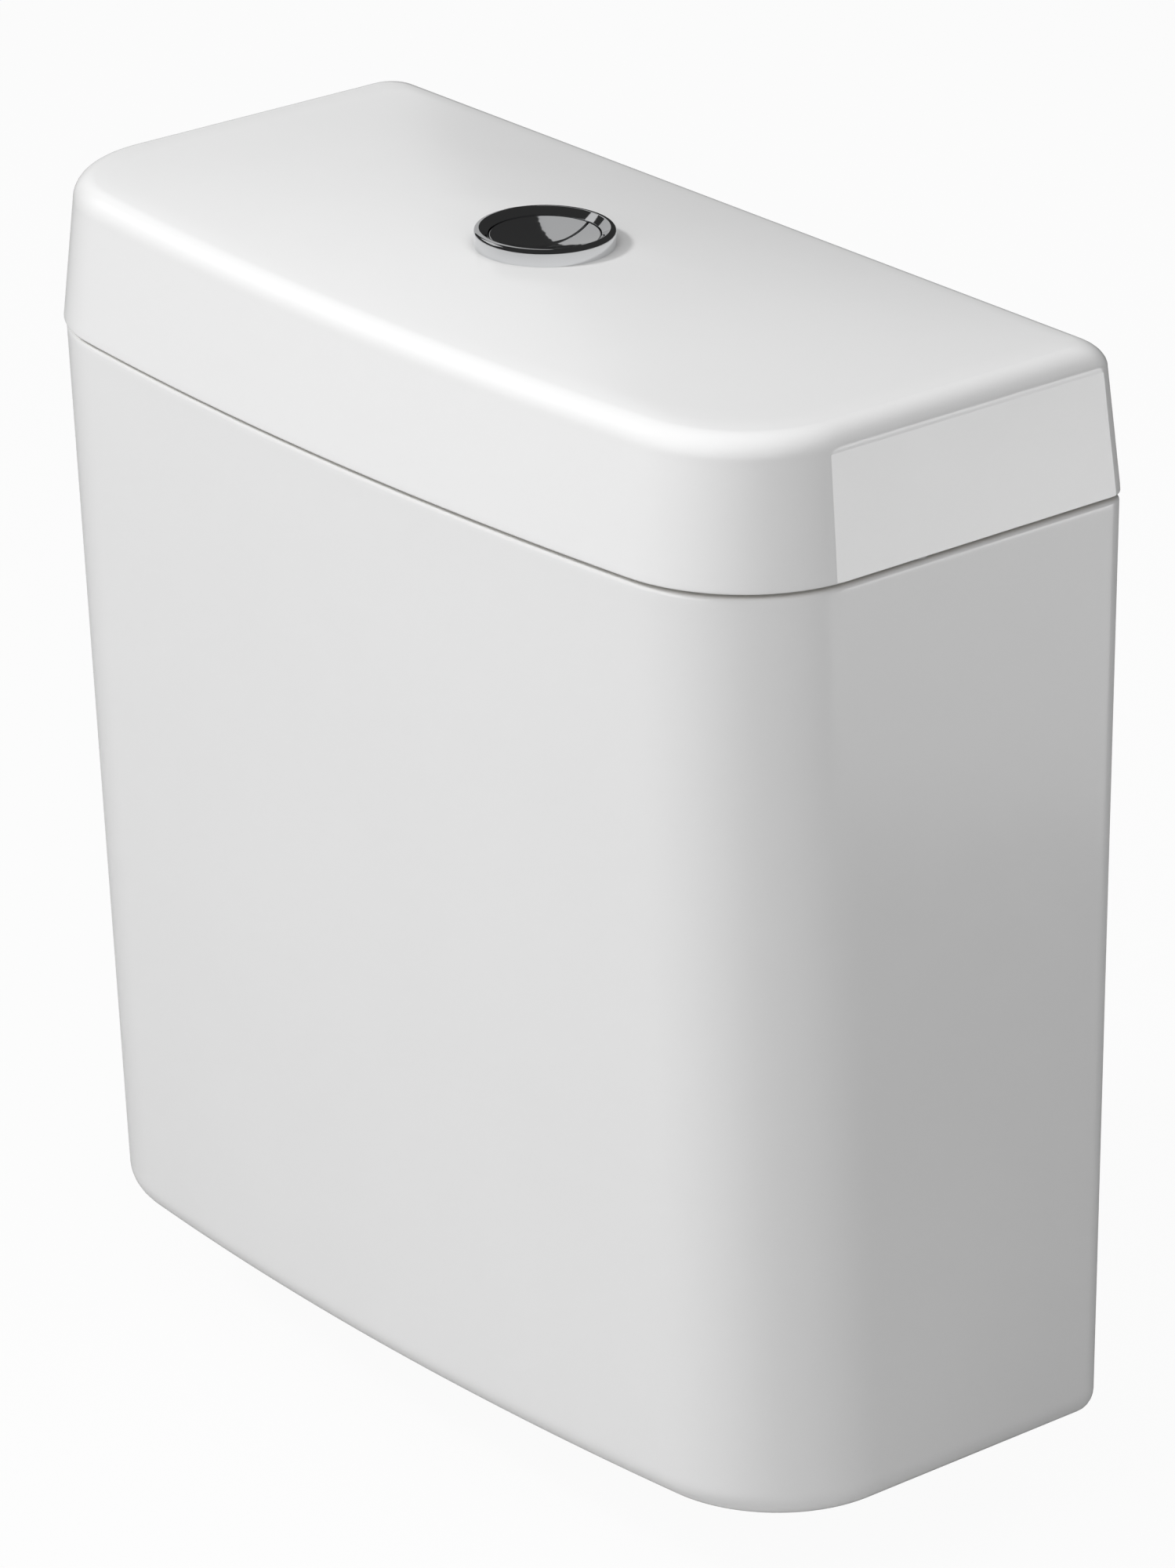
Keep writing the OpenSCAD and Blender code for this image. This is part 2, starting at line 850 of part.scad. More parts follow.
// Cup turned down over the overflow tube
module cup_profile(inner, outer, base, height) {
    polygon([
        [inner, base], [inner + float_skin, base],
        [inner + float_skin, base + height - float_skin], [outer - float_skin, base + height - float_skin],
        [outer - float_skin, base], [outer, base],
        [outer, base + height], [inner, base + height]
    ]);
}

module flush_float() {
    color("gold")
    rotate_extrude()
        cup_profile(
            tube_radius + seat_gap, tower_radius - tower_wall - flush_float_gap,
            float_level, flush_float_height
        );
}

// Rod behind the tower with a plate over the nose of the half flush lever
module half_float_rod() {
    start = lift_y - hook_reach;
    foot = ear_level - guide_rod_tail;
    color("gainsboro") {
        translate([rod_spread, guide_rod_setback, foot])
            cylinder(r = guide_rod_radius, h = rod_end + past - foot);
        translate([rod_spread - lever_width / 2, start, rod_end])
            cube([lever_width, guide_rod_setback + hook_thickness - start, hook_thickness]);
    }
}

module half_flush_float() {
    color("gold")
    translate([rod_spread, guide_rod_setback, 0])
    rotate_extrude()
        cup_profile(guide_rod_radius + pin_gap, half_float_radius, half_float_level, half_float_height);
}

// Threaded inlet through the floor, with a socket for the riser
module inlet_shank() {
    thread_top = -shank_nut_height - thread_relief;
    color("whitesmoke")
    translate([inlet_x, 0, 0])
    rotate_extrude()
        polygon([
            [shank_bore, filter_rim - inlet_drop], [filter_rim_radius + seat_gap, filter_rim - inlet_drop],
            [filter_rim_radius + seat_gap, -inlet_drop], [inlet_radius, -inlet_drop],
            [inlet_radius, thread_top], [shank_radius, thread_top],
            [shank_radius, shank_seat], [shank_radius + shank_flange, shank_seat],
            [shank_radius + shank_flange, shank_flange_top], [shank_body_radius, shank_flange_top],
            [shank_body_radius, shank_top], [riser_radius + seat_gap, shank_top],
            [riser_radius + seat_gap, socket_floor], [shank_bore, socket_floor]
        ]);
}

module shank_washer() {
    color("dimgray")
    translate([inlet_x, 0, floor_thickness])
        tube(shank_radius + seat_gap, shank_radius + shank_flange - past, shank_washer_thickness);
}

module shank_back_nut() {
    color("whitesmoke")
    translate([inlet_x, 0, -shank_nut_height])
    difference() {
        cylinder(r = shank_nut_radius, h = shank_nut_height, $fn = 6);
        translate([0, 0, -past])
            cylinder(r = shank_radius + seat_gap, h = shank_nut_height + 2 * past);
    }
}

// Strainer in the mouth of the inlet
module inlet_filter() {
    radius = shank_bore - slide_gap;
    color("steelblue")
    translate([inlet_x, 0, -inlet_drop])
    rotate_extrude()
        polygon([
            [radius - filter_wall, 0], [filter_rim_radius, 0],
            [filter_rim_radius, filter_rim], [radius, filter_rim],
            [radius, filter_length], [0, filter_length],
            [0, filter_length - filter_wall], [radius - filter_wall, filter_length - filter_wall]
        ]);
}

// Riser with the collar that stops the float
module riser_tube() {
    stop_top = float_height - slide_gap;
    color("white")
    translate([inlet_x, 0, 0])
    rotate_extrude()
        polygon([
            [riser_radius - riser_wall, socket_floor], [riser_radius, socket_floor],
            [riser_radius, stop_top - float_stop_height], [riser_radius + float_stop, stop_top - float_stop_height],
            [riser_radius + float_stop, stop_top], [riser_radius, stop_top],
            [riser_radius, head_height + head_socket], [riser_radius - riser_wall, head_height + head_socket]
        ]);
}

// Valve housing on the riser, with an elbow to the discharge tube
module fill_head() {
    middle = head_height + discharge_insert + cross_bore + past;
    elbow_top = middle + cross_bore + elbow_wall + past;
    color("whitesmoke")
    translate([inlet_x, 0, 0])
    difference() {
        union() {
            translate([0, 0, head_height]) cylinder(r = head_radius, h = head_length);
            translate([-discharge_setback, 0, head_height])
                cylinder(r = discharge_radius + elbow_wall, h = elbow_top - head_height);
            translate([-discharge_setback, 0, middle]) rotate([0, 90, 0])
                cylinder(r = cross_bore + elbow_wall, h = discharge_setback);
        }
        translate([0, 0, head_height - past]) cylinder(r = riser_radius + seat_gap, h = head_socket + past);
        translate([0, 0, head_height]) cylinder(r = valve_chamber, h = head_length + past);
        translate([0, 0, head_top - diaphragm_thickness])
            cylinder(r = head_radius - diaphragm_rim + seat_gap, h = diaphragm_thickness + past);
        translate([-discharge_setback, 0, head_height - past])
            cylinder(r = discharge_radius + seat_gap, h = discharge_insert + past);
        translate([-discharge_setback, 0, head_height])
            cylinder(r = discharge_radius - discharge_wall, h = middle + cross_bore + past / 2 - head_height);
        translate([-discharge_setback, 0, middle]) rotate([0, 90, 0])
            cylinder(r = cross_bore, h = discharge_setback);
    }
}

module diaphragm() {
    color("dimgray")
    translate([inlet_x, 0, head_top - diaphragm_thickness])
        cylinder(r = head_radius - diaphragm_rim, h = diaphragm_thickness);
}

// Cap with the pilot nozzle and two ears for the lever pin
module fill_cap() {
    ear_y = fill_lever_width / 2 + fill_ear_gap;
    color("whitesmoke")
    difference() {
        union() {
            translate([inlet_x, 0, head_top]) cylinder(r = head_radius + cap_spread, h = cap_length);
            translate([fill_pivot.x - fill_tail, 0, cap_top]) cylinder(r = nozzle_radius, h = nozzle_height);
            for (side = [0, 1])
                mirror([0, side, 0])
                translate([fill_pivot.x - fill_ear_width / 2, ear_y, cap_top - past])
                cube([fill_ear_width, fill_ear, past + fill_pin_rise + fill_hub]);
        }
        translate(fill_pivot) rotate([90, 0, 0])
            cylinder(r = fill_pin_radius + pin_gap, h = 4 * fill_lever_width, center = true);
    }
}

// Lever that the float lifts: its tail shuts the pilot nozzle
module fill_lever() {
    color("royalblue")
    translate(fill_pivot)
    rotate([90, 0, 0])
    difference() {
        linear_extrude(fill_lever_width, center = true) {
            circle(r = fill_hub);
            translate([fill_arm, 0]) circle(r = fill_nose);
            translate([-fill_tail, 0]) circle(r = fill_nose);
            translate([-fill_tail, -fill_lever_height / 2]) square([fill_tail + fill_arm, fill_lever_height]);
        }
        cylinder(r = fill_pin_radius + pin_gap, h = 2 * fill_lever_width, center = true);
    }
}

module fill_lever_pin() {
    reach = fill_lever_width / 2 + fill_ear_gap + fill_ear + fill_pin_spare;
    color("silver")
    translate(fill_pivot) rotate([90, 0, 0])
        cylinder(r = fill_pin_radius, h = 2 * reach, center = true);
}

// Float about the riser, with an ear that carries the link
module float_cup() {
    color("gold")
    difference() {
        union() {
            translate([inlet_x, 0, 0])
            rotate_extrude()
                cup_profile(riser_radius + float_bore_gap, float_radius, float_height, float_length);
            translate([link_x, 0, float_top - link_ear_height])
                cylinder(r = link_ear, h = link_ear_height);
            translate([inlet_x + float_radius - float_skin, -link_ear / 2, float_top - link_ear_height])
                cube([link_x - inlet_x - float_radius + float_skin, link_ear, link_ear_height]);
        }
        translate([link_x, 0, float_top - link_ear_height - past])
            cylinder(r = link_radius + pin_gap, h = link_ear_height + 2 * past);
    }
}

// Rod between float and fill lever, held in the ear by two collars
module float_link() {
    base = float_top - link_ear_height - link_collar_height;
    color("white")
    translate([link_x, 0, 0])
    rotate_extrude()
        polygon(concat(
            [[0, base], [link_collar, base]],
            [[link_collar, base + link_collar_height], [link_radius, base + link_collar_height]],
            [[link_radius, float_top], [link_collar, float_top]],
            [[link_collar, float_top + link_collar_height], [link_radius, float_top + link_collar_height]],
            [for (a = [0:30:60]) [link_radius * cos(a), link_end - link_radius * (1 - sin(a))]],
            [[0, link_end]]
        ));
}

module discharge_tube() {
    color("white")
    translate([inlet_x - discharge_setback, 0, floor_thickness + discharge_foot])
        tube(
            discharge_radius - discharge_wall, discharge_radius,
            head_height + discharge_insert - floor_thickness - discharge_foot
        );
}

// Bolts that hang through the floor, with their heads inside
module pan_bolts() {
    thread_top = -bolt_washer_thickness - bolt_nut_height - thread_relief;
    color("goldenrod")
    at_bolts() {
        translate([0, 0, -bolt_drop]) cylinder(r = bolt_radius, h = bolt_drop + thread_top);
        translate([0, 0, thread_top - past]) cylinder(r = bolt_shank, h = bolt_head_base - thread_top + 2 * past);
        translate([0, 0, bolt_head_base])
            cylinder(r = bolt_radius + bolt_head_spread, h = bolt_head_height, $fn = 6);
    }
}

module bolt_seals() {
    color("dimgray")
    at_bolts()
        rotate_extrude()
        polygon([
            [bolt_shank + seat_gap, floor_thickness],
            [bolt_radius + bolt_seal_spread, floor_thickness],
            [bolt_radius + bolt_seal_spread - bolt_seal_taper, bolt_head_base],
            [bolt_shank + seat_gap, bolt_head_base]
        ]);
}

module bolt_washers() {
    color("goldenrod")
    at_bolts()
        translate([0, 0, -bolt_washer_thickness])
        tube(bolt_radius + seat_gap, bolt_radius + bolt_washer_spread, bolt_washer_thickness);
}

module bolt_nuts() {
    color("goldenrod")
    at_bolts()
        translate([0, 0, -bolt_washer_thickness - bolt_nut_height])
        difference() {
            cylinder(r = bolt_radius + bolt_head_spread, h = bolt_nut_height, $fn = 6);
            translate([0, 0, -past]) cylinder(r = bolt_shank + seat_gap, h = bolt_nut_height + 2 * past);
        }
}

// Least gap between neighbouring turns of a button spring
spring_gap = min([for (i = [0:rings_per_turn], k = [rings_per_turn / 2:2 * rings_per_turn])
    norm(spring_point(i / (spring_turns * rings_per_turn))
        - spring_point((i + k) / (spring_turns * rings_per_turn)))]) - 2 * spring_wire;
echo(spring_gap = spring_gap);

tank();
lid();
lid_buffers();
button_bezel();
bezel_washer();
bezel_nut();
full_flush_button();
half_flush_button();
full_push_rod();
half_push_rod();
full_button_spring();
half_button_spring();
outlet_body();
outlet_washer();
outlet_back_nut();
coupling_gasket();
valve_tower();
lever_bracket();
lever_pin();
full_flush_lever();
half_flush_lever();
overflow_tube();
lift_hook();
main_seal();
seal_clip();
flush_float();
half_float_rod();
half_flush_float();
inlet_shank();
shank_washer();
shank_back_nut();
inlet_filter();
riser_tube();
fill_head();
diaphragm();
fill_cap();
fill_lever();
fill_lever_pin();
float_cup();
float_link();
discharge_tube();
pan_bolts();
bolt_seals();
bolt_washers();
bolt_nuts();
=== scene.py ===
import json
import math

import bmesh
import bpy
from mathutils import Matrix, Vector


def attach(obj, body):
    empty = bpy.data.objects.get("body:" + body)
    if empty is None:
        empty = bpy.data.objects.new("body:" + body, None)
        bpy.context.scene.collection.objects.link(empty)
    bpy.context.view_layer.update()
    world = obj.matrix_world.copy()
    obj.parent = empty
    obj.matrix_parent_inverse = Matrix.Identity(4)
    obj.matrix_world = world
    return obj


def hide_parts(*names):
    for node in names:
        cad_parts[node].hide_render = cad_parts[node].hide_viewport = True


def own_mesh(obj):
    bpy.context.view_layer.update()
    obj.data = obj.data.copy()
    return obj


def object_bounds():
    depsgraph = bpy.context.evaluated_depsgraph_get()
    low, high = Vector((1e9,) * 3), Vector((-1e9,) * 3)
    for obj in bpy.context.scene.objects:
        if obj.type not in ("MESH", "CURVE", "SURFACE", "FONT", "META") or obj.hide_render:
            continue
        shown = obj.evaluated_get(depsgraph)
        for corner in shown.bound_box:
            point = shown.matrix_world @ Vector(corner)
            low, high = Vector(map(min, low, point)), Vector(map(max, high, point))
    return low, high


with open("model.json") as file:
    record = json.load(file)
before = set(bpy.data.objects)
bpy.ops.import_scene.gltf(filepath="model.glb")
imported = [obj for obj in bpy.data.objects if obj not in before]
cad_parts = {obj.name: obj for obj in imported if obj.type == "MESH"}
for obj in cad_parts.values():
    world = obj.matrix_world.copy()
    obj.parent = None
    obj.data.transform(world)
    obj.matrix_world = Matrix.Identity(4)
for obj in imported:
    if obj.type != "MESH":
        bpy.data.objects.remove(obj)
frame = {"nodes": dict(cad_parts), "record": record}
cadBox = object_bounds()
scene = bpy.context.scene
scene.view_settings.view_transform = "Standard"
mm = 0.001
mergeDistance = 0.001 * mm
print("frame loaded, nodes:", len(frame["nodes"]))


def linear(hexColour):
    channels = [int(hexColour[i:i + 2], 16) / 255 for i in (0, 2, 4)]
    return [c / 12.92 if c <= 0.04045 else ((c + 0.055) / 1.055) ** 2.4 for c in channels] + [1.0]


def addNode(tree, kind, settings=None, values=None, links=None):
    node = tree.nodes.new(kind)
    for name, value in (settings or {}).items():
        setattr(node, name, value)
    for name, value in (values or {}).items():
        node.inputs[name].default_value = value
    for name, source in (links or {}).items():
        tree.links.new(source, node.inputs[name])
    return node


def newMaterial(name, values):
    material = bpy.data.materials.new(name)
    material.use_nodes = True
    tree = material.node_tree
    shader = tree.nodes["Principled BSDF"]
    for socket, value in values.items():
        shader.inputs[socket].default_value = value
    return material, tree, shader


grainRule = {"cloudDetail": 3.0, "grainDetail": 2.0, "low": 0.3, "high": 0.7, "depthShare": 0.1}
mixSocket = {"first": 6, "second": 7, "result": 2}  # colour sockets of a mix node


# one grain for every finish: a noise of a real size tints the colour, spreads the gloss and lifts the surface
def grainFinish(name, finish):
    material, tree, shader = newMaterial(name, finish["shader"])
    place = addNode(tree, "ShaderNodeTexCoord").outputs["Object"]
    tone = addNode(tree, "ShaderNodeTexNoise", {"noise_dimensions": "3D"},
                   {"Scale": 1 / finish["cloud"], "Detail": grainRule["cloudDetail"]}, {"Vector": place})
    grain = addNode(tree, "ShaderNodeTexNoise", {"noise_dimensions": "3D"},
                    {"Scale": 1 / finish["grain"], "Detail": grainRule["grainDetail"]}, {"Vector": place})
    colour = addNode(tree, "ShaderNodeMix", {"data_type": "RGBA"}, None, {"Factor": tone.outputs["Fac"]})
    colour.inputs[mixSocket["first"]].default_value = linear(finish["colours"][0])
    colour.inputs[mixSocket["second"]].default_value = linear(finish["colours"][1])
    gloss = addNode(tree, "ShaderNodeMapRange", None,
                    {"From Min": grainRule["low"], "From Max": grainRule["high"],
                     "To Min": finish["gloss"][0], "To Max": finish["gloss"][1]},
                    {"Value": grain.outputs["Fac"]})
    bump = addNode(tree, "ShaderNodeBump", None,
                   {"Strength": finish["lift"], "Distance": finish["grain"] * grainRule["depthShare"]},
                   {"Height": grain.outputs["Fac"]})
    tree.links.new(colour.outputs[mixSocket["result"]], shader.inputs["Base Color"])
    tree.links.new(gloss.outputs["Result"], shader.inputs["Roughness"])
    tree.links.new(bump.outputs["Normal"], shader.inputs["Normal"])
    return material


# vitreous china under a fired clear glaze: even white with a soft wet gloss and a faint ripple
glazedChina = grainFinish("glazed_vitreous_china", {
    "shader": {"IOR": 1.5, "Specular IOR Level": 0.5},
    "colours": ("F2F2F2", "F5F5F5"), "cloud": 90 * mm, "grain": 22 * mm, "gloss": (0.17, 0.2), "lift": 0.008})
# the same clay where it stood in the kiln without glaze: chalky, faintly warm
bareClay = grainFinish("unglazed_vitreous_china", {
    "shader": {"IOR": 1.5},
    "colours": ("DDDAD3", "E6E3DC"), "cloud": 12 * mm, "grain": 0.9 * mm, "gloss": (0.75, 0.9), "lift": 0.25})
# nickel and chromium plate on moulded plastic: a mirror with the faintest haze
chromePlate = grainFinish("chromium_plate", {
    "shader": {"Metallic": 1.0},
    "colours": ("E4E5E7", "E9EAEB"), "cloud": 15 * mm, "grain": 3 * mm, "gloss": (0.035, 0.06), "lift": 0.006})
# acetal as moulded: milky white, half matt
whiteAcetal = grainFinish("moulded_white_acetal", {
    "shader": {"IOR": 1.48},
    "colours": ("E4E4E0", "EBEBE7"), "cloud": 25 * mm, "grain": 0.8 * mm, "gloss": (0.32, 0.42), "lift": 0.08})
# pigmented ABS as moulded: grey blue with a fine spark-eroded texture
towerAbs = grainFinish("moulded_grey_abs", {
    "shader": {"IOR": 1.53},
    "colours": ("A3ACB6", "ABB4BE"), "cloud": 30 * mm, "grain": 0.6 * mm, "gloss": (0.38, 0.5), "lift": 0.12})
# dyed polypropylene: saturated blue, a little waxy
bluePolypropylene = grainFinish("moulded_blue_polypropylene", {
    "shader": {"IOR": 1.49},
    "colours": ("1F4FA0", "2557AB"), "cloud": 18 * mm, "grain": 0.8 * mm, "gloss": (0.3, 0.42), "lift": 0.08})
# natural polypropylene floats: cloudy ivory
floatPolypropylene = grainFinish("moulded_natural_polypropylene", {
    "shader": {"IOR": 1.49},
    "colours": ("DAD6C4", "E3DFCE"), "cloud": 14 * mm, "grain": 0.9 * mm, "gloss": (0.35, 0.48), "lift": 0.08})
# moulded EPDM: near black, dull, with a trace of bloom
blackRubber = grainFinish("moulded_epdm_rubber", {
    "shader": {"IOR": 1.52, "Specular IOR Level": 0.4},
    "colours": ("1B1B1C", "262627"), "cloud": 9 * mm, "grain": 1.1 * mm, "gloss": (0.6, 0.8), "lift": 0.2})
# red silicone of the flush seal: satin and slightly soft to the eye
redSilicone = grainFinish("moulded_red_silicone", {
    "shader": {"IOR": 1.43},
    "colours": ("9A2B22", "A63428"), "cloud": 10 * mm, "grain": 0.9 * mm, "gloss": (0.4, 0.55), "lift": 0.1})
# clear silicone pads: milky and satin
clearSilicone = grainFinish("clear_silicone", {
    "shader": {"IOR": 1.43, "Transmission Weight": 0.35},
    "colours": ("E4E4E2", "ECECEA"), "cloud": 5 * mm, "grain": 0.7 * mm, "gloss": (0.3, 0.45), "lift": 0.06})
# drawn stainless wire and ground pins: bright with a fine drawn haze
drawnSteel = grainFinish("drawn_stainless_steel", {
    "shader": {"Metallic": 1.0},
    "colours": ("B4B5B5", "C0C1C1"), "cloud": 4 * mm, "grain": 0.5 * mm, "gloss": (0.2, 0.32), "lift": 0.05})
# turned brass: yellow, satin, slightly uneven with handling
turnedBrass = grainFinish("turned_brass", {
    "shader": {"Metallic": 1.0},
    "colours": ("C8A25A", "D6B36C"), "cloud": 7 * mm, "grain": 0.6 * mm, "gloss": (0.22, 0.36), "lift": 0.06})
finishOfSlot = {
    "white_glaze": glazedChina, "chrome_plate": chromePlate, "white_plastic": whiteAcetal,
    "tower_plastic": towerAbs, "blue_plastic": bluePolypropylene, "float_plastic": floatPolypropylene,
    "black_rubber": blackRubber, "red_silicone": redSilicone, "clear_silicone": clearSilicone,
    "steel": drawnSteel, "brass": turnedBrass}
slotOfNode = {row["node"]: row["material_slot"] for row in frame["record"]["subparts"]}
for nodeName, nodeObject in frame["nodes"].items():
    nodeObject.data.materials.clear()
    nodeObject.data.materials.append(finishOfSlot[slotOfNode[nodeName]])
print("finishes ready:", len(finishOfSlot))


def lineTo(bm, vert, point, steps=1):
    stride = (Vector(point) - vert.co) / steps
    for _ in range(steps):
        vert = bmesh.ops.extrude_vert_indiv(bm, verts=[vert])["verts"][0]
        bmesh.ops.translate(bm, verts=[vert], vec=stride)
    return vert


def arcRound(bm, vert, centre, axis, angle, steps):
    spun = bmesh.ops.spin(bm, geom=[vert], cent=centre, axis=axis, angle=angle, steps=steps, use_merge=False)
    return [g for g in spun["geom_last"] if isinstance(g, bmesh.types.BMVert)][0]


def edgesAmong(verts):
    members = set(verts)
    return list({e for v in verts for e in v.link_edges if e.verts[0] in members and e.verts[1] in members})


def circleEdges(bm, x, y, z, radius, segments):
    made = bmesh.ops.create_circle(bm, cap_ends=False, segments=segments, radius=radius,
                                   matrix=Matrix.Translation((x, y, z)))
    return edgesAmong(made["verts"])


# plate between an outer loop and round holes, at two levels, with the walls of the holes
def holedPlate(bm, lowLoop, highLoop, holes, low, high, segments):
    lowCircles = [circleEdges(bm, x, y, low, r, segments) for x, y, r in holes]
    highCircles = [circleEdges(bm, x, y, high, r, segments) for x, y, r in holes]
    bmesh.ops.triangle_fill(bm, use_beauty=True, edges=lowLoop + [e for c in lowCircles for e in c])
    bmesh.ops.triangle_fill(bm, use_beauty=True, edges=highLoop + [e for c in highCircles for e in c])
    for lowCircle, highCircle in zip(lowCircles, highCircles):
        bmesh.ops.bridge_loops(bm, edges=lowCircle + highCircle)


def softShade(bm, sharpAngle):
    for face in bm.faces:
        face.smooth = True
    for edge in bm.edges:
        if len(edge.link_faces) == 2 and edge.calc_face_angle() > sharpAngle:
            edge.smooth = False


def makePiece(name, bm, finishes, body, nodes):
    mesh = bpy.data.meshes.new(name)
    bm.to_mesh(mesh)
    bm.free()
    piece = bpy.data.objects.new(name, mesh)
    scene.collection.objects.link(piece)
    for finish in finishes:
        mesh.materials.append(finish)
    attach(piece, body)
    if nodes:
        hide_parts(*nodes)
    return piece


def weld(bm):
    bmesh.ops.remove_doubles(bm, verts=bm.verts, dist=mergeDistance)
    bmesh.ops.recalc_face_normals(bm, faces=bm.faces)


# level outline shared by tank and lid: flat back and sides, round corners, bowed front
ceramic = {
    "halfWidth": 194 * mm, "back": 92 * mm, "front": 94 * mm, "lean": 19.5 * mm, "bow": 13 * mm,
    "corner": 53 * mm, "rear": 8 * mm, "cavityRear": 14 * mm, "wall": 10 * mm,
    "backSteps": 18, "rearSteps": 8, "sideSteps": 10, "cornerSteps": 28, "bowSteps": 20, "hold": 1.5 * mm,
    "sharp": math.radians(35), "down": -0.9}


def outlineRing(bm, inset, level, front, rear, flat=0.0):
    old = set(bm.verts)
    up = (0, 0, 1)
    half = ceramic["halfWidth"] - inset
    back = ceramic["back"] - max(inset, 0)
    corner = ceramic["corner"] - inset
    hold = ceramic["hold"]
    bow = (ceramic["halfWidth"] ** 2 + ceramic["bow"] ** 2) / (2 * ceramic["bow"]) - inset
    bowY = bow - (front - inset)
    cornerX = half - corner
    cornerY = bowY - math.sqrt((bow - corner) ** 2 - cornerX ** 2)
    meet = math.atan2(cornerY - bowY, cornerX)
    rearCut = math.acos(1 - flat / rear)  # a flat ground on the side cuts into both round edges
    cornerCut = math.acos(1 - flat / corner)
    vert = bm.verts.new((0, back, level))
    vert = lineTo(bm, vert, (half - rear - hold, back, level), ceramic["backSteps"])
    vert = lineTo(bm, vert, (half - rear, back, level))
    vert = arcRound(bm, vert, (half - rear, back - rear, level), up, rearCut - math.pi / 2,
                    ceramic["rearSteps"])
    vert = lineTo(bm, vert, vert.co - Vector((0, hold, 0)))
    sideEnd = cornerY - corner * math.sin(cornerCut)
    vert = lineTo(bm, vert, (half - flat, sideEnd + hold, level), ceramic["sideSteps"])
    vert = lineTo(bm, vert, (half - flat, sideEnd, level))
    vert = arcRound(bm, vert, (cornerX, cornerY, level), up, meet + cornerCut, ceramic["cornerSteps"])
    vert = arcRound(bm, vert, (0, bowY, level), up, -math.pi / 2 - meet, ceramic["bowSteps"])
    made = [v for v in bm.verts if v not in old]
    bmesh.ops.mirror(bm, geom=made + edgesAmong(made), axis="X", merge_dist=mergeDistance)
    return [v for v in bm.verts if v not in old]


# each ring is drawn out of the one before it, so the walls keep the same edges all the way up
def stackRings(bm, drawRing, rows):
    ring = drawRing(bm, *rows[0])
    firstLoop = edgesAmong(ring)
    for row in rows[1:]:
        shape = bmesh.new()
        places = [v.co.copy() for v in drawRing(shape, *row)]
        shape.free()
        drawn = bmesh.ops.extrude_edge_only(bm, edges=edgesAmong(ring))["geom"]
        fresh = {g for g in drawn if isinstance(g, bmesh.types.BMVert)}
        ring = [next(e.other_vert(v) for e in v.link_edges if e.other_vert(v) in fresh) for v in ring]
        for vert, place in zip(ring, places):
            vert.co = place
    return firstLoop, edgesAmong(ring)


def quarter(steps):
    return [math.pi / 2 * i / steps for i in range(steps + 1)]


tank = {
    "height": 344.5 * mm, "floor": 12 * mm, "foot": 10 * mm, "cavity": 12 * mm, "rim": 1.6 * mm,
    "holes": [(0, 0, 31.8 * mm), (-135 * mm, 0, 12.38 * mm), (-75 * mm, 0, 5.5 * mm), (75 * mm, 0, 5.5 * mm)],
    "roundSteps": 8, "holeSteps": 64, "footLine": 0.4 * mm, "leastRear": 2 * mm}


def tankFront(level):
    return ceramic["front"] - ceramic["lean"] * (1 - level / tank["height"])


def buildTank():
    bm = bmesh.new()
    rows = []
    for a in quarter(tank["roundSteps"]):
        level = tank["floor"] + tank["cavity"] * (1 - math.cos(a))
        rows.append((ceramic["wall"] + tank["cavity"] * (1 - math.sin(a)), level, ceramic["cavityRear"]))
    for a in quarter(tank["roundSteps"]):
        level = tank["height"] - tank["rim"] * (1 - math.sin(a))
        rows.append((ceramic["wall"] - tank["rim"] * (1 - math.cos(a)), level, ceramic["cavityRear"]))
    for a in reversed(quarter(tank["roundSteps"])):
        level = tank["height"] - tank["rim"] * (1 - math.sin(a))
        rows.append((tank["rim"] * (1 - math.cos(a)), level, ceramic["rear"]))
    rows.append((0.0, tank["height"] - tank["rim"] - ceramic["hold"], ceramic["rear"]))
    rows.append((0.0, tank["foot"] + ceramic["hold"], ceramic["rear"]))
    for a in reversed(quarter(tank["roundSteps"])):
        inset = tank["foot"] * (1 - math.sin(a))
        rows.append((inset, tank["foot"] * (1 - math.cos(a)), max(ceramic["rear"] - inset, tank["leastRear"])))
    inside, under = stackRings(bm, outlineRing, [(i, z, tankFront(z), rear) for i, z, rear in rows])
    holedPlate(bm, under, inside, tank["holes"], 0.0, tank["floor"], tank["holeSteps"])
    weld(bm)
    softShade(bm, ceramic["sharp"])
    for face in bm.faces:
        if face.calc_center_median().z < tank["footLine"] and face.normal.z < ceramic["down"]:
            face.material_index = 1
    return makePiece("ceramic_tank", bm, [glazedChina, bareClay], "cistern", ["tank"])


lid = {
    "base": 346 * mm, "height": 56 * mm, "overhang": 1 * mm, "draft": 5.5 * mm, "round": 8 * mm,
    "crown": 12 * mm,
    "dome": 4.4 * mm, "domeEdge": 0.15, "seat": 24.5 * mm, "rear": 9 * mm, "rim": 13 * mm, "rimWall": 6 * mm,
    "rimDrop": 9 * mm, "rimRoot": 10 * mm, "cavity": 12 * mm, "edge": 0.8 * mm, "flat": 0.25 * mm,
    "hole": 22 * mm,
    "roundSteps": 14, "domeSteps": 16, "edgeSteps": 5, "cavitySteps": 8,
    "flatAcross": 0.004, "flatAlong": 0.99, "flatTilt": (0.06, 0.13)}  # normals of the end flats
lid["slope"] = lid["draft"] / lid["height"]
lid["shoulder"] = lid["height"] - lid["dome"] - lid["round"]
lid["shoulderInset"] = lid["slope"] * lid["shoulder"] - lid["overhang"]
lid["topInset"] = lid["shoulderInset"] + lid["round"]
lid["edgeRise"] = lid["dome"] * lid["domeEdge"]


